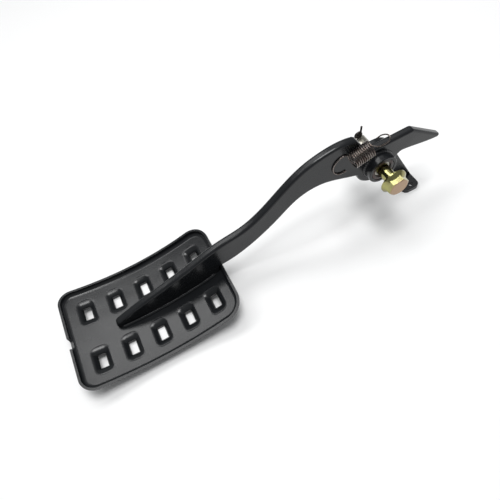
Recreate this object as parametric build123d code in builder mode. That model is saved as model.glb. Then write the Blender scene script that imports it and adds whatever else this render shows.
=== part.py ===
from build123d import *
from math import cos, degrees, radians, sin
import os

# A rear brake pedal, in millimetres. The origin is on the pivot's axis, in the middle of the arm's
# thickness. X runs from the foot pad to the pivot, Y across the pedal and Z up.

# Where the pad lies from the pivot
arm_reach = 171.0
pivot_height = 35.0

# Foot pad: a bowed tray of pressed sheet, with slotted pockets for grip
pad_length = 113.6
pad_width = 74.1
pad_sheet = 1.5
pad_bow = 173.0
pad_rim = 3.4
pad_bend = 4.5
corner_by_arm = 13.0
corner_free = 10.0
pocket_columns = 5
pocket_end_margin = 16.8
pocket_rows_apart = 36.6
pocket_long = 17.6
pocket_wide = 10.8
pocket_pitch = (pad_length - 2 * pocket_end_margin) / (pocket_columns - 1)
pocket_corner = 3.4
pocket_depth = 2.8
pocket_taper = 14.0
slot_long = 9.4
slot_wide = 5.0
slot_corner = 0.6
press_radius = 1.6
notch_long = 8.0
notch_side = -1.4
notch_floor = -26.4
notch_corner = 2.0

# Arm: one thick plate on edge, with the pivot's eye and a beak past it
arm_thick = 5.5
arm_round = 1.7
plain_arm_from = 14.2
arm_foot_end = 4.6
arm_foot_lift = 4.33684
eye_radius = 15.0
beak_top = 15.0
beak_tip = (50.5, -5.0)

# Pivot: tube, two bushes, spacer sleeve, flange bolt and split pin
tube_radius = 10.0
tube_length = 18.0
tube_wall = 2.0
bush_recess = 0.3
bush_gap = 2.4
sleeve_radius = 5.75
sleeve_length = 27.5
sleeve_recess = 1.5
running_gap = 0.05
bolt_radius = 4.0
bolt_pull = 10.0
bolt_length = 35.0
head_flats = 12.0
head_height = 6.5
head_turned = 12.0
flange_radius = 8.6
flange_edge = 1.3
flange_cone = 3.4
pin_radius = 0.95
pin_leg = 0.48
pin_from_end = 1.8
pin_curl = 2.1
pin_spike = 9.0
pin_eye = 2.2

# Stop bracket: a strap on the arm's far side, with a foot tab turned towards the near side
strap_thick = 3.0
strap_ring = 14.0
strap_leg_left = -6.0
tab_left = 22.6
tab_right = 35.4
tab_top = -40.0
tab_reach = 8.8
tab_corner = 3.6
tab_hole_radius = 1.6
fold_radius = 1.2

# Return spring: hooked over the beak, lying against the arm's near side
wire_radius = 0.5
wire_sides = 8
coil_radius = 4.7
coil_turns = 10.0
coil_pitch = 1.28
coil_left_x = -23.2
coil_left_z = 23.4
coil_rise = 13.0
hook_radius = 7.3
seat_gap = 0.1

os.makedirs("parts", exist_ok=True)

bow_centre = (-arm_reach, pad_bow - pivot_height)
pad_half_angle = degrees(pad_length / 2 / pad_bow)
arm_side = arm_thick / 2


def save(part, label):
    """Name a finished piece and write it."""
    part.label = label
    export_step(part, f"parts/{label}.step")


def over_pad(x, z):
    """A point of the XZ plane, given from the centre of the pad's upper face."""
    return (x - arm_reach, z - pivot_height)


def pad_plane(along, lift):
    """The plane that touches the bowed sheet, `along` from its middle, facing down through it."""
    turn = along / pad_bow
    reach = pad_bow - lift
    origin = (bow_centre[0] + reach * sin(turn), 0, bow_centre[1] - reach * cos(turn))
    return Plane(origin, x_dir=(cos(turn), 0, sin(turn)), z_dir=(sin(turn), 0, -cos(turn)))


def bow_band(inner, outer, start, end):
    """Face between two radii of the bow, from one angle to another (0 is straight down)."""
    with BuildSketch(Plane.XZ) as band:
        with BuildLine():
            low = CenterArc(bow_centre, outer, start - 90, end - start)
            high = CenterArc(bow_centre, inner, start - 90, end - start)
            Line(low @ 0, high @ 0)
            Line(low @ 1, high @ 1)
        make_face()
    return band.sketch


def bowed_block(inset, floor, mouth):
    """A block with the pad's outline, drawn in by `inset`, between two radii of the bow."""
    half = pad_half_angle - degrees(inset / pad_bow)
    with BuildPart() as block:
        extrude(bow_band(mouth, floor, -half, half), amount=pad_width / 2 - inset, both=True)
        for ends, radius in ((slice(-2, None), corner_by_arm), (slice(0, 2), corner_free)):
            uprights = block.edges().filter_by(GeomType.LINE).filter_by(Axis.Y, reverse=True)
            fillet(uprights.sort_by(Axis.X)[ends], radius=radius - inset)
        widest = block.faces().sort_by(SortBy.AREA)[-2:]
        fillet(widest.sort_by(Axis.Z)[0].edges(), radius=pad_bend - inset)
    return block.part


def bow_distance(point):
    """Distance of a point from the axis that the pad is bowed about."""
    return ((point.X - bow_centre[0]) ** 2 + (point.Z - bow_centre[1]) ** 2) ** 0.5


# Foot pad
pocket_places = [
    (column * pocket_pitch, side * pocket_rows_apart / 2)
    for column in range(-(pocket_columns // 2), pocket_columns // 2 + 1)
    for side in (-1, 1)
]

with BuildPart() as pedal_pad:
    add(bowed_block(0, pad_bow + pad_sheet, pad_bow - pad_rim))
    add(bowed_block(pad_sheet, pad_bow, pad_bow - pad_rim - 1), mode=Mode.SUBTRACT)
    # Each pocket is a boss under the sheet, hollowed from above, with a slot in its floor
    for along, side in pocket_places:
        with BuildSketch(pad_plane(along, -pad_sheet / 2)):
            with Locations((0, -side)):
                RectangleRounded(pocket_wide + 2 * pad_sheet, pocket_long + 2 * pad_sheet,
                                 pocket_corner + pad_sheet)
        extrude(amount=pocket_depth + pad_sheet / 2, taper=pocket_taper)
    for along, side in pocket_places:
        with BuildSketch(pad_plane(along, pad_sheet / 4)):
            with Locations((0, -side)):
                RectangleRounded(pocket_wide, pocket_long, pocket_corner)
        extrude(amount=pocket_depth + pad_sheet / 4, taper=pocket_taper, mode=Mode.SUBTRACT)
    lips = pedal_pad.edges().filter_by(
        lambda edge: abs(bow_distance(edge @ 0) - pad_bow) < 0.01
        and abs(bow_distance(edge @ 0.5) - pad_bow) < 0.01
        and abs((edge @ 0.5).Y) < pocket_rows_apart / 2 + pocket_long / 2 + 1
        and abs((edge @ 0.5).X + arm_reach) < (pocket_columns - 1) / 2 * pocket_pitch + pocket_wide / 2 + 1
    )
    fillet(lips, radius=press_radius)
    for along, side in pocket_places:
        with BuildSketch(pad_plane(along, 0)):
            with Locations((0, -side)):
                RectangleRounded(slot_wide, slot_long, slot_corner)
        extrude(amount=pocket_depth + 3 * pad_sheet, mode=Mode.SUBTRACT)
    # A notch down to the sheet in the flange at the free end
    with BuildSketch(Plane.YZ.offset(-arm_reach - pad_length / 2)):
        with Locations((notch_side, notch_floor + notch_long)):
            RectangleRounded(notch_long, 2 * notch_long, notch_corner)
    extrude(amount=2 * pad_bend, mode=Mode.SUBTRACT)
save(pedal_pad.part, "pedal_pad")

def on_way(share, lift):
    """A point between the pad's end and the arm's crest, raised from the straight line by `lift`."""
    end, crest = -arm_reach + pad_length / 2, -38
    return (end + share * (crest - end), lift - pivot_height * (1 - share))


foot_end = pad_length / 2 - arm_foot_end
foot_rise = pad_bow - (pad_bow**2 - foot_end**2) ** 0.5
plain_arm = -arm_reach + pad_length / 2 + plain_arm_from

# Arm
with BuildPart() as pedal_arm:
    with BuildSketch(Plane.XZ):
        with BuildLine():
            nose = Line(over_pad(-24.5, -4), over_pad(-24.2, 6.6))
            top = Spline(nose @ 1, over_pad(-1, 15), over_pad(29.3, 23.7), on_way(0.03, 32.2),
                         on_way(0.237, 27.7), on_way(0.434, 28), on_way(0.638, 32.1),
                         on_way(0.825, 34.1), (-38, 31.9), (-24.6, 32.7), (-16.6, 31))
            drop = Line(top @ 1, (-7.2, beak_top))
            crown = Line(drop @ 1, (24.4, beak_top))
            slope = Line(crown @ 1, beak_tip)
            under_beak = Spline(slope @ 1, (35.5, -3.4), (25, -1.1), (9, 0.6))
            through = Line(under_beak @ 1, (-8, -4))
            low = Spline(through @ 1, (-27.7, 3.1), (-42, 7.4), on_way(0.763, 13.7),
                         on_way(0.566, 11.1), on_way(0.358, 8.7), over_pad(foot_end, foot_rise + arm_foot_lift))
            Polyline(low @ 1, over_pad(foot_end - 2.2, 3), over_pad(20, -4), nose @ 0)
        make_face()
        Circle(eye_radius)
    extrude(amount=arm_side, both=True)
    # The foot of the plate stands on the bowed sheet and passes just over its flange
    extrude(bow_band(pad_bow, pad_bow + 40, -pad_half_angle, pad_half_angle),
            amount=arm_thick, both=True, mode=Mode.SUBTRACT)
    for place, radius in (
        (over_pad(-24.2, 6.6), 4.5), ((-16.6, 31), 3.5), ((-7.2, beak_top), 4.0),
        ((24.4, beak_top), 3.0), (beak_tip, 1.2),
    ):
        corner = pedal_arm.edges().filter_by(Axis.Y).sort_by_distance((place[0], 0, place[1]))[0]
        fillet(corner, radius=radius)
    hollows = pedal_arm.edges().filter_by(Axis.Y).filter_by(
        lambda edge: abs((edge @ 0.5).X ** 2 + (edge @ 0.5).Z ** 2 - eye_radius ** 2) < 0.1)
    fillet(hollows, radius=4.0)
    rims = pedal_arm.faces().filter_by(Axis.Y).edges().filter_by(
        lambda edge: bow_distance(edge @ 0.5) < pad_bow - pad_rim - 1 or (edge @ 0.5).X > plain_arm)
    fillet(rims, radius=arm_round)
    with BuildSketch(Plane.XZ):
        Circle(tube_radius)
    extrude(amount=arm_thick, both=True, mode=Mode.SUBTRACT)
save(pedal_arm.part, "pedal_arm")


def ring(outer, inner, start, length):
    """A tube about the pivot's axis, from y = start."""
    with BuildPart() as tube:
        with BuildSketch(Plane.XZ.offset(-start)):
            Circle(outer)
            Circle(inner, mode=Mode.SUBTRACT)
        extrude(amount=-length)
        ends = tube.faces().filter_by(Axis.Y).edges()
        chamfer(ends, length=0.3)
    return tube.part


# Pivot tube with a bush in each end
bore = tube_radius - tube_wall
bush_length = (tube_length - bush_gap) / 2 - bush_recess
sleeve_fit = sleeve_radius + running_gap
save(ring(tube_radius, bore, -tube_length / 2, tube_length), "pivot_tube")
save(ring(bore, sleeve_fit, -tube_length / 2 + bush_recess, bush_length), "bush_near")
save(ring(bore, sleeve_fit, tube_length / 2 - bush_recess - bush_length, bush_length), "bush_far")

# What turns in the bushes: sleeve, bolt and split pin
sleeve_near = -tube_length / 2 + sleeve_recess
sleeve_far = sleeve_near + sleeve_length
pin_y = sleeve_far - pin_from_end
with BuildPart() as spacer_sleeve:
    add(ring(sleeve_radius, bolt_radius + running_gap, sleeve_near, sleeve_length))
    with BuildSketch(Plane.XY):
        with Locations((0, pin_y)):
            Circle(pin_radius + running_gap)
    extrude(amount=2 * sleeve_radius, both=True, mode=Mode.SUBTRACT)
save(spacer_sleeve.part, "spacer_sleeve")

flange_under = -tube_length / 2 - bolt_pull
bolt_tip = flange_under + bolt_length
head_end = flange_under - head_height

with BuildPart() as pivot_bolt:
    with BuildSketch(Plane.XZ.offset(-flange_under)):
        RegularPolygon(head_flats / 2, side_count=6, major_radius=False, rotation=head_turned)
    extrude(amount=head_height)
    # The head's outer corners are turned off at an angle
    with BuildSketch(Plane.XY):
        with BuildLine():
            Polyline((0, flange_under), (flange_radius, flange_under), (flange_radius, head_end + 1.6),
                     (head_flats / 2 - 0.4, head_end), (0, head_end), (0, flange_under))
        make_face()
    revolve(axis=Axis.Y, mode=Mode.INTERSECT)
    with BuildSketch(Plane.XY):
        with BuildLine():
            Polyline((0, flange_under - flange_cone),
                     (head_flats / 2 - 0.3, flange_under - flange_cone),
                     (flange_radius - 0.5, flange_under - flange_edge),
                     (flange_radius, flange_under - flange_edge + 0.5),
                     (flange_radius, flange_under), (bolt_radius, flange_under),
                     (bolt_radius, bolt_tip - 1), (bolt_radius - 0.9, bolt_tip), (0, bolt_tip),
                     (0, flange_under - flange_cone))
        make_face()
    revolve(axis=Axis.Y)
save(pivot_bolt.part, "pivot_bolt")

# Split pin, up through the sleeve: one leg rolled on the sleeve's top, the other left straight
curl_z = sleeve_radius + pin_curl + pin_leg
eye_z = -sleeve_radius - pin_eye - 1
with BuildPart() as split_pin:
    with BuildSketch(Plane.XY.offset(eye_z + pin_eye - 1)):
        with Locations((0, pin_y)):
            Circle(pin_radius)
    extrude(amount=2 * sleeve_radius + 2.2)
    with BuildSketch(Plane.YZ):
        with Locations((pin_y, eye_z)):
            Circle(pin_eye)
            Circle(pin_eye - 2 * pin_leg - 0.3, mode=Mode.SUBTRACT)
    extrude(amount=pin_radius, both=True)
    with Locations(Plane((-1.3, pin_y, curl_z), z_dir=(0, 1, 0))):
        Torus(pin_curl, pin_leg)
    with BuildSketch(Plane((0.3, pin_y, sleeve_radius - 0.3), z_dir=(0.1, 0, 1))):
        Circle(pin_leg)
    extrude(amount=pin_spike)
save(split_pin.part, "split_pin")

# Stop bracket: a folded strap, cut to the outline of its ring, leg and tab
tab_middle = (tab_left + tab_right) / 2
strap_near = arm_side
strap_far = strap_near + strap_thick
tab_under = tab_top - strap_thick
with BuildPart() as stop_bracket:
    with BuildSketch(Plane.YZ) as fold:
        with BuildLine():
            Polyline((strap_near, strap_ring + 1), (strap_near, tab_top), (-tab_reach, tab_top),
                     (-tab_reach, tab_under), (strap_far, tab_under), (strap_far, strap_ring + 1),
                     (strap_near, strap_ring + 1))
        make_face()
        inner = fold.vertices().sort_by_distance((0, strap_near, tab_top))[0]
        fillet(inner, radius=fold_radius)
        outer = fold.vertices().sort_by_distance((0, strap_far, tab_under))[0]
        fillet(outer, radius=fold_radius + strap_thick)
    extrude(amount=tab_right + strap_ring, both=True)
    with BuildSketch(Plane.XZ) as cut:
        Circle(strap_ring)
        with BuildLine():
            Polyline((tab_right, tab_under), (tab_right, tab_top), (11, 8.4), (-5, 8), (strap_leg_left, -10),
                     (tab_left - 4.6, tab_top + 12), (tab_left, tab_top), (tab_left, tab_under),
                     (tab_right, tab_under))
        make_face()
        Circle(tube_radius, mode=Mode.SUBTRACT)
    extrude(amount=tab_reach + strap_far, both=True, mode=Mode.INTERSECT)
    tips = stop_bracket.edges().filter_by(Axis.Z).sort_by(Axis.Y)[:2]
    fillet(tips, radius=tab_corner)
    with BuildSketch(Plane.XY.offset(tab_top)):
        with Locations((tab_middle + 1, tab_corner - tab_reach)):
            Circle(tab_hole_radius)
    extrude(amount=-strap_thick, mode=Mode.SUBTRACT)
save(stop_bracket.part, "stop_bracket")

# Return spring: the coil, a free hook on its left and a hook over the beak on its right
coil_y = -arm_side - coil_radius - wire_radius - seat_gap
wire_y = coil_y + coil_radius
lean = radians(coil_rise)
along = (cos(lean), 0, sin(lean))
coil_plane = Plane((coil_left_x, coil_y, coil_left_z), x_dir=(0, 1, 0), z_dir=along)
hook_centre = (coil_left_x - 2.5, coil_left_z - 6.3)
hook_turn = [
    (hook_centre[0] + hook_radius * cos(radians(angle)), wire_y,
     hook_centre[1] + hook_radius * sin(radians(angle)))
    for angle in range(85, 290, 40)
]
over_beak = beak_top + wire_radius + seat_gap
upright_coil = Helix(pitch=coil_pitch, height=coil_turns * coil_pitch, radius=coil_radius, lefthand=True)
coil = (coil_plane * upright_coil).edge()
with BuildPart() as return_spring:
    with BuildLine():
        left = Spline(coil @ 0, *hook_turn, tangents=[-(coil % 0), (1, 0, 0.26)])
        right = Spline(coil @ 1, (-4.8, wire_y, over_beak + 4.2), (-0.6, wire_y, over_beak + 1.4),
                       (4.4, wire_y + 0.2, over_beak + 1.0), (8.6, -0.8, over_beak),
                       (9.4, 1.6, over_beak + 0.4), (6.3, arm_side + 0.8, over_beak + 1.0),
                       (2, arm_side + 0.7, over_beak + 0.7), tangents=[coil % 1, (-1, 0, -0.2)])
    for path in (coil, left, right):
        with BuildSketch(Plane(path @ 0, z_dir=path % 0)):
            RegularPolygon(wire_radius, side_count=wire_sides)
        sweep(path=path, is_frenet=path is coil)
save(return_spring.part, "return_spring")
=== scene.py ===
# %% [markdown]
# A rear brake pedal of pressed and cut steel, in black coat, lying on a pale studio floor.
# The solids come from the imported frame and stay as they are. This script gives every surface
# its finish, adds what was too fine for the solids (the drawn slopes of the pockets, weld beads
# and round wire), and sets the floor, the light and the camera.

# %% Load the frame
import math

import bmesh
import bpy
from mathutils import Matrix, Vector


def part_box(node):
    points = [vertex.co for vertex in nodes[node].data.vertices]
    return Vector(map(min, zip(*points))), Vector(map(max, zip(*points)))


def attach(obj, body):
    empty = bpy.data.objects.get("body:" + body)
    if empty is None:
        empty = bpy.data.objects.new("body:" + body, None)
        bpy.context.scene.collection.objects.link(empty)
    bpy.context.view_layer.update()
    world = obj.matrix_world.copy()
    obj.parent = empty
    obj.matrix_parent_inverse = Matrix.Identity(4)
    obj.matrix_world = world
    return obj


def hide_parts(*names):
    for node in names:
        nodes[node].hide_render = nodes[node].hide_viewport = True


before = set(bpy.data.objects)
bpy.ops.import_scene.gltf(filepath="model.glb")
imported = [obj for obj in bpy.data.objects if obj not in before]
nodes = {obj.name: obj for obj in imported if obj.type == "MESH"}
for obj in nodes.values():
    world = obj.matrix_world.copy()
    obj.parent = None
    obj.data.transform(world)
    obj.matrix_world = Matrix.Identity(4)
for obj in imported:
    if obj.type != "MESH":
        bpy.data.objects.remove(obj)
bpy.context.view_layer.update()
MM = 0.001

# %% [markdown]
# The scene's colours are shown as they are rendered, so the view transform is Standard. The
# photograph is square, and its camera looks down on the pedal from the pad's near corner. The
# place, direction and roll were worked out from the pad's slots, whose pitch is regular.

# %% Camera
scene = bpy.context.scene
scene.view_settings.view_transform = "Standard"

camera_place = Vector((-122.5, -147.3, 224.9)) * MM
camera_azimuth = math.radians(-10.49)
camera_elevation = math.radians(59.18)
camera_roll = math.radians(-18.62)
sight = Vector((
    -math.sin(camera_azimuth) * math.cos(camera_elevation),
    math.cos(camera_azimuth) * math.cos(camera_elevation),
    -math.sin(camera_elevation),
))

camera_data = bpy.data.cameras.new("camera")
camera_data.lens = 31.5
camera_data.sensor_width = 36.0
camera_data.clip_start = 0.01
camera = bpy.data.objects.new("camera", camera_data)
scene.collection.objects.link(camera)
turn = sight.to_track_quat("-Z", "Y").to_matrix() @ Matrix.Rotation(camera_roll, 3, "Z")
camera.matrix_world = Matrix.Translation(camera_place) @ turn.to_4x4()
scene.camera = camera
print("camera looks along", [round(part, 4) for part in sight])

# %% [markdown]
# The pedal rests on the pad's lowest pockets and on the foot tab, which reaches 3 mm lower than
# the pad. A flat floor under the tab would leave the pad in the air, so the floor is a plane
# through both, about one degree off level. It is white to the camera by its own colour.

# %% Floor
pad_low, pad_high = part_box("pedal_pad")
tab_low, tab_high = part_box("stop_bracket")
pad_rest_x = (pad_low[0] + pad_high[0]) / 2
tab_rest_x = tab_high[0]
floor_slope = (tab_low[2] - pad_low[2]) / (tab_rest_x - pad_rest_x)
FLOOR_SIZE = 3.0
FLOOR_GAP = 0.1 * MM

floor_bm = bmesh.new()
bmesh.ops.create_grid(floor_bm, x_segments=1, y_segments=1, size=FLOOR_SIZE)
for vert in floor_bm.verts:
    vert.co.z = tab_low[2] + floor_slope * (vert.co.x - tab_rest_x) - FLOOR_GAP
floor_mesh = bpy.data.meshes.new("floor")
floor_bm.to_mesh(floor_mesh)
floor_bm.free()
floor = bpy.data.objects.new("floor", floor_mesh)
scene.collection.objects.link(floor)
print("floor slope", round(math.degrees(math.atan(floor_slope)), 2), "degrees")

# %% [markdown]
# A studio is mostly large soft light. The world is an even grey dome for the light that comes
# from all sides. A key lamp straight above presses the soft shadow under the pivot and the pad,
# and a long window of light behind the pedal is what the bowed pad mirrors as a broad sheen. A
# small dim window at the right lights the top of the beak.

# %% World and lamps
world = bpy.data.worlds.new("studio")
world.use_nodes = True
scene.world = world
dome = world.node_tree.nodes["Background"]
dome.inputs["Color"].default_value = (0.97, 0.99, 1.0, 1.0)
dome.inputs["Strength"].default_value = 0.30


def softbox(name, place, sizes, power, target):
    """A rectangular area lamp at a place, turned to a target, with its long side along X."""
    data = bpy.data.lights.new(name, "AREA")
    data.shape = "RECTANGLE"
    data.size, data.size_y = sizes
    data.energy = power
    obj = bpy.data.objects.new(name, data)
    scene.collection.objects.link(obj)
    back = (Vector(place) - Vector(target)).normalized()
    along = Vector((1.0, 0.0, 0.0))
    along = (along - back * along.dot(back)).normalized()
    turn = Matrix((along, back.cross(along), back)).transposed()
    obj.matrix_world = Matrix.Translation(place) @ turn.to_4x4()
    return obj


softbox("key", (0.00, -0.02, 0.90), (0.40, 0.40), 5.6, (-0.03, 0.0, 0.0))
softbox("window", (-0.37, 0.50, 0.98), (0.95, 0.30), 4.6, (-0.17, 0.0, -0.03))
softbox("side_window", (0.42, 0.62, 0.92), (0.40, 0.30), 0.4, (0.0, 0.0, 0.0))
print("lamps", [light.name for light in bpy.data.lights])

# %% [markdown]
# Materials. Every finish starts from a Principled shader; small helpers keep the node work short.

# %% Material helpers


def new_material(name):
    """A material with one Principled shader; returns the material, its tree and the shader."""
    material = bpy.data.materials.new(name)
    material.use_nodes = True
    tree = material.node_tree
    shader = tree.nodes["Principled BSDF"]
    return material, tree, shader


def object_noise(tree, scale, detail=2.0, roughness=0.5):
    """A Noise texture on Object coordinates."""
    coordinates = tree.nodes.new("ShaderNodeTexCoord")
    noise = tree.nodes.new("ShaderNodeTexNoise")
    noise.inputs["Scale"].default_value = scale
    noise.inputs["Detail"].default_value = detail
    noise.inputs["Roughness"].default_value = roughness
    tree.links.new(coordinates.outputs["Object"], noise.inputs["Vector"])
    return noise


def ramp(tree, value, stops):
    """A Color Ramp on a value, with (position, colour) stops."""
    node = tree.nodes.new("ShaderNodeValToRGB")
    elements = node.color_ramp.elements
    while len(elements) < len(stops):
        elements.new(0.5)
    for element, (position, colour) in zip(elements, stops):
        element.position = position
        element.color = (*colour, 1.0)
    tree.links.new(value, node.inputs["Fac"])
    return node


def bump(tree, height, shader, strength, distance):
    """A Bump node from a height to the shader's normal."""
    node = tree.nodes.new("ShaderNodeBump")
    node.inputs["Strength"].default_value = strength
    node.inputs["Distance"].default_value = distance
    tree.links.new(height, node.inputs["Height"])
    tree.links.new(node.outputs["Normal"], shader.inputs["Normal"])
    return node


print("helpers ready")

# %% [markdown]
# The floor: plain white, with the object's shadow on it.

# %% Floor material
floor_material, floor_tree, floor_shader = new_material("floor_white")
floor_shader.inputs["Base Color"].default_value = (0.93, 0.93, 0.93, 1.0)
floor_shader.inputs["Roughness"].default_value = 0.9
floor_shader.inputs["Specular IOR Level"].default_value = 0.1
floor.data.materials.append(floor_material)
print("floor material", floor_material.name)

# %% [markdown]
# Black electrocoat: a dip coat that is smooth to the hand and fairly glossy. On pressed steel it
# keeps a faint waviness of a few millimetres, so its mirror image of the softbox has soft,
# slightly broken edges. Two noises do that: a wide one bends the normal and varies the tint, a
# fine one breaks the gloss.

# %% Black coat
black_coat, coat_tree, coat_shader = new_material("black_coat")
coat_wave = object_noise(coat_tree, 70.0, detail=0.5)
coat_grain = object_noise(coat_tree, 1400.0, detail=3.0)
coat_tint = ramp(coat_tree, coat_wave.outputs["Fac"],
                 [(0.30, (0.007, 0.008, 0.0095)), (0.70, (0.011, 0.012, 0.0135))])
coat_tree.links.new(coat_tint.outputs["Color"], coat_shader.inputs["Base Color"])
coat_gloss = ramp(coat_tree, coat_grain.outputs["Fac"], [(0.30, (0.22,) * 3), (0.72, (0.27,) * 3)])
coat_tree.links.new(coat_gloss.outputs["Color"], coat_shader.inputs["Roughness"])
coat_height = coat_tree.nodes.new("ShaderNodeMath")
coat_height.operation = "MULTIPLY_ADD"
coat_tree.links.new(coat_grain.outputs["Fac"], coat_height.inputs[0])
coat_height.inputs[1].default_value = 0.006
coat_tree.links.new(coat_wave.outputs["Fac"], coat_height.inputs[2])
coat_shader.inputs["Specular IOR Level"].default_value = 0.38
bump(coat_tree, coat_height.outputs["Value"], coat_shader, 0.30, 0.0007)
print("black coat ready")

# %% [markdown]
# Metals. They share one effect, a blotchy second colour, so it is a node group with named
# inputs: two colours, the size of the blotches and how far the second colour reaches.

# %% Blotch group
blotch = bpy.data.node_groups.new("blotchy_plating", "ShaderNodeTree")
for label, kind, value in (
    ("Plating", "NodeSocketColor", (0.5, 0.5, 0.5, 1.0)),
    ("Blotch", "NodeSocketColor", (0.4, 0.3, 0.3, 1.0)),
    ("Scale", "NodeSocketFloat", 200.0),
    ("Reach", "NodeSocketFloat", 0.5),
):
    socket = blotch.interface.new_socket(name=label, in_out="INPUT", socket_type=kind)
    socket.default_value = value
blotch.interface.new_socket(name="Color", in_out="OUTPUT", socket_type="NodeSocketColor")
blotch.interface.new_socket(name="Mask", in_out="OUTPUT", socket_type="NodeSocketFloat")
group_in = blotch.nodes.new("NodeGroupInput")
group_out = blotch.nodes.new("NodeGroupOutput")
place_in = blotch.nodes.new("ShaderNodeTexCoord")
cloud = blotch.nodes.new("ShaderNodeTexNoise")
cloud.inputs["Detail"].default_value = 3.0
blotch.links.new(place_in.outputs["Object"], cloud.inputs["Vector"])
blotch.links.new(group_in.outputs["Scale"], cloud.inputs["Scale"])
reach = blotch.nodes.new("ShaderNodeMapRange")
reach.interpolation_type = "SMOOTHSTEP"
reach.inputs["To Min"].default_value = 0.0
blotch.links.new(cloud.outputs["Fac"], reach.inputs["Value"])
reach.inputs["From Min"].default_value = 0.38
reach.inputs["From Max"].default_value = 0.62
blotch.links.new(group_in.outputs["Reach"], reach.inputs["To Max"])
blend = blotch.nodes.new("ShaderNodeMix")
blend.data_type = "RGBA"
blotch.links.new(reach.outputs["Result"], blend.inputs["Factor"])
blotch.links.new(group_in.outputs["Plating"], blend.inputs["A"])
blotch.links.new(group_in.outputs["Blotch"], blend.inputs["B"])
blotch.links.new(blend.outputs["Result"], group_out.inputs["Color"])
blotch.links.new(reach.outputs["Result"], group_out.inputs["Mask"])
print("blotch group with", len(blotch.nodes), "nodes")

# %% [markdown]
# The bolt has yellow passivated zinc, straw and olive. The sleeve is pale turned steel, the split
# pin is dark, and the spring is drawn wire with a brown film of oil.

# %% Metals


def metal(name, plating, blotched, scale, reach_to, gloss):
    """A metal whose colour is blotched by the group and whose gloss follows a fine noise."""
    material, tree, shader = new_material(name)
    shader.inputs["Metallic"].default_value = 1.0
    tint = tree.nodes.new("ShaderNodeGroup")
    tint.node_tree = blotch
    tint.inputs["Plating"].default_value = (*plating, 1.0)
    tint.inputs["Blotch"].default_value = (*blotched, 1.0)
    tint.inputs["Scale"].default_value = scale
    tint.inputs["Reach"].default_value = reach_to
    tree.links.new(tint.outputs["Color"], shader.inputs["Base Color"])
    grain = object_noise(tree, 2500.0)
    shine = ramp(tree, grain.outputs["Fac"], [(0.3, (gloss[0],) * 3), (0.7, (gloss[1],) * 3)])
    tree.links.new(shine.outputs["Color"], shader.inputs["Roughness"])
    bump(tree, grain.outputs["Fac"], shader, 0.15, 0.00004)
    return material


yellow_zinc = metal("yellow_zinc", (0.36, 0.35, 0.14), (0.27, 0.24, 0.12), 260.0, 0.7, (0.12, 0.20))
plain_steel = metal("plain_steel", (0.44, 0.43, 0.39), (0.33, 0.31, 0.25), 240.0, 0.6, (0.22, 0.38))
dark_steel = metal("dark_steel", (0.07, 0.07, 0.07), (0.11, 0.09, 0.08), 400.0, 0.8, (0.30, 0.50))
spring_steel = metal("spring_steel", (0.21, 0.185, 0.17), (0.10, 0.075, 0.065), 500.0, 0.9, (0.16, 0.28))
print("metals ready")

# %% [markdown]
# The end face of the bolt's head came out of the bath pinker than its sides. The place along the
# bolt blends that colour in just before the head's end.

# %% Pink end of the bolt
HEAD_SIDES, HEAD_END = -24.7 * MM, -25.4 * MM
END_PINK = (0.36, 0.23, 0.16, 1.0)
END_SHARE = 0.85
zinc_tree = yellow_zinc.node_tree
zinc_shader = zinc_tree.nodes["Principled BSDF"]
zinc_place = zinc_tree.nodes.new("ShaderNodeTexCoord")
zinc_axis = zinc_tree.nodes.new("ShaderNodeSeparateXYZ")
zinc_tree.links.new(zinc_place.outputs["Object"], zinc_axis.inputs["Vector"])
zinc_end = zinc_tree.nodes.new("ShaderNodeMapRange")
zinc_end.inputs["From Min"].default_value = HEAD_SIDES
zinc_end.inputs["From Max"].default_value = HEAD_END
zinc_end.inputs["To Max"].default_value = END_SHARE
zinc_tree.links.new(zinc_axis.outputs["Y"], zinc_end.inputs["Value"])
zinc_mix = zinc_tree.nodes.new("ShaderNodeMix")
zinc_mix.data_type = "RGBA"
zinc_mix.inputs["B"].default_value = END_PINK
zinc_tree.links.new(zinc_end.outputs["Result"], zinc_mix.inputs["Factor"])
plated = zinc_shader.inputs["Base Color"].links[0].from_socket
zinc_tree.links.new(plated, zinc_mix.inputs["A"])
zinc_tree.links.new(zinc_mix.outputs["Result"], zinc_shader.inputs["Base Color"])
print("pink over", round((HEAD_SIDES - HEAD_END) / MM, 1), "mm")

# %% [markdown]
# The bushes are a reddish brown bearing plastic. Old grease has darkened them in patches and
# left them wetter there, so the same mask drives the colour and the roughness.

# %% Bush plastic
bush_plastic, bush_tree, bush_shader = new_material("bush_plastic")
grease = bush_tree.nodes.new("ShaderNodeGroup")
grease.node_tree = blotch
grease.inputs["Plating"].default_value = (0.065, 0.030, 0.026, 1.0)
grease.inputs["Blotch"].default_value = (0.018, 0.012, 0.011, 1.0)
grease.inputs["Scale"].default_value = 300.0
grease.inputs["Reach"].default_value = 1.0
bush_tree.links.new(grease.outputs["Color"], bush_shader.inputs["Base Color"])
wetness = ramp(bush_tree, grease.outputs["Mask"], [(0.0, (0.5,) * 3), (1.0, (0.22,) * 3)])
bush_tree.links.new(wetness.outputs["Color"], bush_shader.inputs["Roughness"])
print("bush plastic ready")

# %% [markdown]
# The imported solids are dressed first. Each is fine as it is and only needs its finish in its
# material slots.

# %% Dress the nodes
finishes = {
    "pedal_pad": black_coat, "pedal_arm": black_coat, "pivot_tube": black_coat,
    "stop_bracket": black_coat, "bush_near": bush_plastic, "bush_far": bush_plastic,
    "spacer_sleeve": plain_steel, "pivot_bolt": yellow_zinc,
    "split_pin": dark_steel, "return_spring": spring_steel,
}
for node_name, finish in finishes.items():
    slots = nodes[node_name].material_slots
    if not slots:
        nodes[node_name].data.materials.append(finish)
    for slot in slots:
        slot.material = finish
print("dressed", len(finishes), "nodes")

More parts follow.
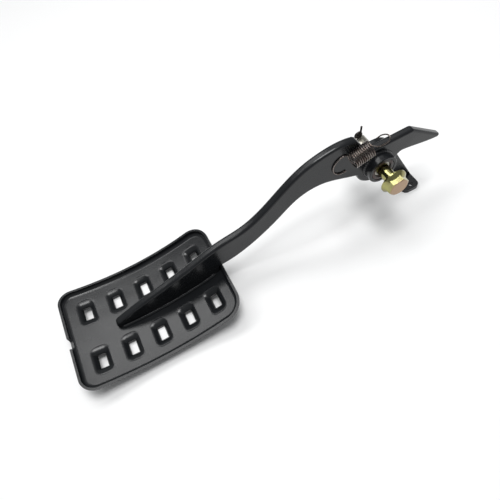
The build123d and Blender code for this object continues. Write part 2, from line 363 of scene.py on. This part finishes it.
# %% [markdown]
# Pressed pockets. The punch drew the sheet down to each slot in one soft slope, so no flat floor
# is left round the opening. The solids keep a simple stepped pocket, and this piece lays the
# drawn slope in each: a rounded rectangle inset ring by ring down to the slot, then thickened.
# Every ring is lifted by the bow of the sheet, so the lip lies on it.

# %% Pocket slopes
PAD_BOW = 173.0 * MM
BOW_CENTRE = Vector((-171.0, 0.0, 138.0)) * MM
POCKET_PITCH, ROWS_APART = 20.0, 36.6
LIP_LONG, LIP_WIDE, LIP_CORNER = 20.1, 13.3, 4.3
SLOT_LONG, SLOT_WIDE = 9.4, 5.0
LIP_SINK, SIDE_PULL = 0.01, 1.35
DRAW = ((0.5, 0.03), (0.5, 0.12), (0.5, 0.25), (0.6, 0.44), (0.6, 0.58), (0.6, 0.66), (0.55, 0.68))
funnel = bmesh.new()
corners = [funnel.verts.new((x * LIP_WIDE / 2, y * LIP_LONG / 2, 0.0))
           for x, y in ((-1, -1), (1, -1), (1, 1), (-1, 1))]
funnel.faces.new(corners)
bmesh.ops.bevel(funnel, geom=funnel.verts[:], offset=LIP_CORNER, offset_type="OFFSET", segments=6,
                profile=0.5, affect="VERTICES", material=-1)
drawn = sum(step for step, _ in DRAW)
for step, fall in DRAW:
    funnel.faces.ensure_lookup_table()
    middle = [face for face in funnel.faces if len(face.verts) > 4][-1]
    bmesh.ops.inset_region(funnel, faces=[middle], thickness=step, depth=0.0,
                           use_even_offset=True, use_boundary=True)
    squeeze = 1.0 - (step / drawn) * (1.0 - (SLOT_LONG / 2) / (LIP_LONG / 2 - drawn)) * SIDE_PULL
    bmesh.ops.translate(funnel, verts=middle.verts, vec=(0.0, 0.0, -fall))
    bmesh.ops.scale(funnel, verts=middle.verts, vec=(1.0, squeeze, 1.0))
tall = max(abs(vert.co.y) for vert in middle.verts)
wide = max(abs(vert.co.x) for vert in middle.verts)
bmesh.ops.scale(funnel, verts=middle.verts, vec=(SLOT_WIDE / 2 / wide, SLOT_LONG / 2 / tall, 1.0))
bmesh.ops.delete(funnel, geom=[middle], context="FACES_ONLY")
for vert in funnel.verts:
    vert.co.z += vert.co.x ** 2 / (2 * PAD_BOW / MM) - LIP_SINK
for face in funnel.faces:
    face.smooth = True
funnel_mesh = bpy.data.meshes.new("pocket_slope")
funnel.to_mesh(funnel_mesh)
funnel.free()
print("one slope:", len(funnel_mesh.polygons), "faces, slot", round(2 * wide, 2), round(2 * tall, 2))

# %% [markdown]
# The ten copies stand where the pockets are: along the bow in five columns, each turned with the
# sheet, in two rows. A Solidify modifier gives them the sheet's body below, out of sight.

# %% Place the slopes
SKIN = 0.3 * MM
row_bm = bmesh.new()
for column in range(-2, 3):
    tilt = column * POCKET_PITCH * MM / PAD_BOW
    foot = BOW_CENTRE + Vector((math.sin(tilt), 0.0, -math.cos(tilt))) * PAD_BOW
    for side in (-1, 1):
        before = set(row_bm.verts)
        row_bm.from_mesh(funnel_mesh)
        fresh = [vert for vert in row_bm.verts if vert not in before]
        place = (Matrix.Translation(foot + Vector((0.0, side * ROWS_APART / 2 * MM, 0.0)))
                 @ Matrix.Rotation(-tilt, 4, "Y") @ Matrix.Scale(MM, 4))
        bmesh.ops.transform(row_bm, matrix=place, verts=fresh)
slopes_mesh = bpy.data.meshes.new("pocket_slopes")
row_bm.to_mesh(slopes_mesh)
row_bm.free()
slopes = bpy.data.objects.new("pocket_slopes", slopes_mesh)
scene.collection.objects.link(slopes)
slopes_mesh.materials.append(black_coat)
body_below = slopes.modifiers.new("body_below", "SOLIDIFY")
body_below.thickness = SKIN
body_below.offset = -1.0
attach(slopes, "pedal")
print("placed", len(slopes_mesh.polygons), "faces")

# %% [markdown]
# Weld beads. A fillet weld is a three-sided bead in the corner of two plates, with a ripple for
# each puddle of the torch. The corner between the plate and the bowed pad is part of a circle
# about the pad's bow, so a small triangle spun about that centre lies in it exactly. The same
# helper makes the beads round the pivot tube, where the circle is the tube itself.

# %% Bead helper
RIPPLE = 1.5 * MM
VALLEY, CREST = 0.86, 0.14
CROWN, SHOULDER = 0.42, 0.18
RUN_OUT = 1.8 * MM


def weld_bead(name, corner, legs, centre, axis, angle, closed=False):
    """A rippled bead: a triangle at a corner with two legs, spun about a centre."""
    bm = bmesh.new()
    corner, centre, axis = Vector(corner), Vector(centre), Vector(axis)
    first, second = Vector(legs[0]), Vector(legs[1])
    crown = corner + (first + second) * CROWN
    ring = [bm.verts.new(place) for place in
            (corner, corner + first, crown + first * SHOULDER, crown + second * SHOULDER,
             corner + second)]
    face = bm.faces.new(ring)
    radius = ((corner - centre) - axis * (corner - centre).dot(axis)).length
    steps = max(24, round(abs(angle) * radius / (RIPPLE / 4)))
    bmesh.ops.spin(bm, geom=[face, *face.edges, *face.verts], cent=centre, axis=axis,
                   angle=angle, steps=steps, use_merge=closed, use_duplicate=False)
    if closed:
        bmesh.ops.delete(bm, geom=[f for f in bm.faces if len(f.verts) == 5], context="FACES_ONLY")
    bmesh.ops.remove_doubles(bm, verts=bm.verts, dist=0.00001)
    start = corner - centre - axis * (corner - centre).dot(axis)
    length = abs(angle) * radius
    for vert in bm.verts:
        arm = vert.co - centre
        flat = arm - axis * arm.dot(axis)
        swept = abs(start.angle(flat, 0.0))
        if axis.dot(start.cross(flat)) * angle < 0:
            swept = 2 * math.pi - swept
        along = swept * radius
        root = centre + Matrix.Rotation(math.copysign(swept, angle), 3, axis) @ (corner - centre)
        puddle = VALLEY + CREST * abs(math.cos(math.pi * along / RIPPLE))
        wander = 1.0 + 0.07 * math.sin(along * 410.0) + 0.05 * math.sin(along * 1030.0)
        from_end = min(along, length - along) / RUN_OUT
        taper = 1.0 if closed else min(1.0, max(0.05, from_end)) ** 0.5
        vert.co = root + (vert.co - root) * puddle * wander * taper
    bmesh.ops.recalc_face_normals(bm, faces=bm.faces)
    for each in bm.faces:
        each.smooth = True
    mesh = bpy.data.meshes.new(name)
    bm.to_mesh(mesh)
    bm.free()
    obj = bpy.data.objects.new(name, mesh)
    scene.collection.objects.link(obj)
    mesh.materials.append(black_coat)
    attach(obj, "pedal")
    print(name, len(mesh.polygons), "faces,", round(length / MM, 1), "mm long")
    return obj


# %% [markdown]
# The two long beads join the plate's foot to the pad. They start a little behind the foot's tip
# and stop at the pad's rim.

# %% Foot beads
ARM_SIDE = 2.75 * MM
BEAD_START, BEAD_END = -22.5, 49.5
LEG = 2.0 * MM
SINK = 0.25 * MM
for side, name in ((-1, "foot_bead_near"), (1, "foot_bead_far")):
    tilt = BEAD_START * MM / PAD_BOW
    down = Vector((math.sin(tilt), 0.0, -math.cos(tilt)))
    corner = BOW_CENTRE + down * (PAD_BOW + SINK) + Vector((0.0, side * (ARM_SIDE - SINK), 0.0))
    weld_bead(name, corner, (Vector((0.0, side * LEG, 0.0)), -down * LEG), BOW_CENTRE, (0.0, -1.0, 0.0),
              (BEAD_END - BEAD_START) * MM / PAD_BOW)

# %% [markdown]
# Two round beads hold the pivot tube: one in the arm's eye on the near side, one on the strap's
# ring on the far side.

# %% Tube beads
TUBE_RADIUS = 10.0 * MM
STRAP_FAR = 5.75 * MM
for side, seat, leg, name in (
    (-1, ARM_SIDE, 1.7 * MM, "tube_bead_near"), (1, STRAP_FAR, 1.6 * MM, "tube_bead_far"),
):
    corner = Vector((TUBE_RADIUS - SINK, side * (seat - SINK), 0.0))
    weld_bead(name, corner, (Vector((leg, 0.0, 0.0)), Vector((0.0, side * leg, 0.0))),
              (0.0, 0.0, 0.0), (0.0, 1.0, 0.0), 2 * math.pi, closed=True)

# %% [markdown]
# Wire pieces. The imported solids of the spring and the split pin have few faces, so each gets a
# round wire in its place: a Bezier curve with a bevel, whose automatic handles give a smooth
# line through the points of the helix and of the hooks.

# %% Wire helper


def wire(name, strokes, radius, finish, body, stands_for):
    """One piece of round wire along strokes of points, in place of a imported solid."""
    data = bpy.data.curves.new(name, "CURVE")
    data.dimensions = "3D"
    data.bevel_depth = radius
    data.bevel_resolution = 3
    data.resolution_u = 6
    data.use_fill_caps = True
    for stroke in strokes:
        spline = data.splines.new("BEZIER")
        spline.bezier_points.add(len(stroke) - 1)
        for point, place in zip(spline.bezier_points, stroke):
            point.co = Vector(place) * MM
            point.handle_left_type = point.handle_right_type = "AUTO"
    source = bpy.data.objects.new(name + "_line", data)
    scene.collection.objects.link(source)
    bpy.context.view_layer.update()
    mesh = bpy.data.meshes.new_from_object(source.evaluated_get(bpy.context.evaluated_depsgraph_get()))
    bpy.data.objects.remove(source)
    mesh.name = name
    mesh.materials.clear()
    mesh.materials.append(finish)
    for polygon in mesh.polygons:
        polygon.use_smooth = True
    obj = bpy.data.objects.new(name, mesh)
    scene.collection.objects.link(obj)
    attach(obj, body)
    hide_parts(stands_for)
    print(name, len(mesh.polygons), "faces")
    return obj


# %% [markdown]
# The return spring: ten turns of wire, wound left-handed about a line that climbs along the
# arm. The left end opens into a free hook and the right end reaches over the beak and back.

# %% Return spring
COIL_RADIUS, WIRE_RADIUS = 4.75, 0.44
COIL_PITCH, COIL_TURNS = 1.28, 10
COIL_Y = -8.05
WIRE_Y = COIL_Y + COIL_RADIUS
RISE = math.radians(13.0)
coil_start = Vector((-23.2, COIL_Y, 23.4))
coil_along = Vector((math.cos(RISE), 0.0, math.sin(RISE)))
coil_out = Vector((0.0, 1.0, 0.0))
coil_up = coil_along.cross(coil_out)
PER_TURN = 16
helix = []
for step in range(COIL_TURNS * PER_TURN + 1):
    turned = -2 * math.pi * step / PER_TURN
    helix.append(coil_start + coil_along * (COIL_PITCH * step / PER_TURN)
                 + coil_out * (COIL_RADIUS * math.cos(turned))
                 + coil_up * (COIL_RADIUS * math.sin(turned)))
HOOK_RADIUS = 7.3
hook_centre = Vector((-25.7, WIRE_Y, 17.1))
left_hook = [
    hook_centre + Vector((math.cos(math.radians(a)), 0.0, math.sin(math.radians(a)))) * HOOK_RADIUS
    for a in range(285, 75, -20)
]
OVER_BEAK = 15.6
right_hook = [
    (-4.8, WIRE_Y, OVER_BEAK + 4.2), (-0.6, WIRE_Y, OVER_BEAK + 1.4),
    (4.4, WIRE_Y + 0.2, OVER_BEAK + 1.0), (8.6, -0.8, OVER_BEAK), (9.4, 1.6, OVER_BEAK + 0.4),
    (6.3, 3.55, OVER_BEAK + 1.0), (2.0, 3.45, OVER_BEAK + 0.7),
]
wire("spring_wire", [left_hook + helix + right_hook], WIRE_RADIUS * MM, spring_steel,
     "pedal", "return_spring")

# %% [markdown]
# The split pin goes up through the sleeve's far end. Its eye is below. Above, one leg is rolled
# up tightly on the sleeve and the other was left standing.

# %% Split pin
PIN_Y = 18.2
SLEEVE_RADIUS = 5.75
LEG_RADIUS = 0.68
LEG_X = 0.45
ROLL_STEPS, ROLL_TURN = 27, 30
ROLL_REACH, ROLL_SHRINK = 2.6, 0.072
ROLL_X, ROLL_Y, ROLL_ADVANCE = -1.3, PIN_Y - 0.35, 0.03
ROLL_Z = SLEEVE_RADIUS + 2.6
EYE_RADIUS, EYE_Z = 1.7, -8.95
rolled = [(-LEG_X, PIN_Y - 0.02, -7.0), (-LEG_X, PIN_Y - 0.02, 0.0), (-0.30, PIN_Y - 0.02, 5.0)]
for step in range(ROLL_STEPS):
    angle = math.radians(-60 + ROLL_TURN * step)
    reach = ROLL_REACH - ROLL_SHRINK * step
    rolled.append((ROLL_X + reach * math.cos(angle), ROLL_Y + ROLL_ADVANCE * step,
                   ROLL_Z + reach * math.sin(angle)))
eye = []
for step in range(14):
    angle = math.radians(75 - 25 * step)
    eye.append((0.0, PIN_Y + EYE_RADIUS * math.cos(angle), EYE_Z + EYE_RADIUS * math.sin(angle)))
straight = [(LEG_X, PIN_Y, -7.0), (LEG_X, PIN_Y, 0.0), (0.35, PIN_Y, 5.4), (0.8, PIN_Y, 10.0),
            (1.2, PIN_Y + 0.1, 14.3)]
wire("pin_wire", [rolled, straight, eye], LEG_RADIUS * MM, dark_steel, "pivot_set",
     "split_pin")
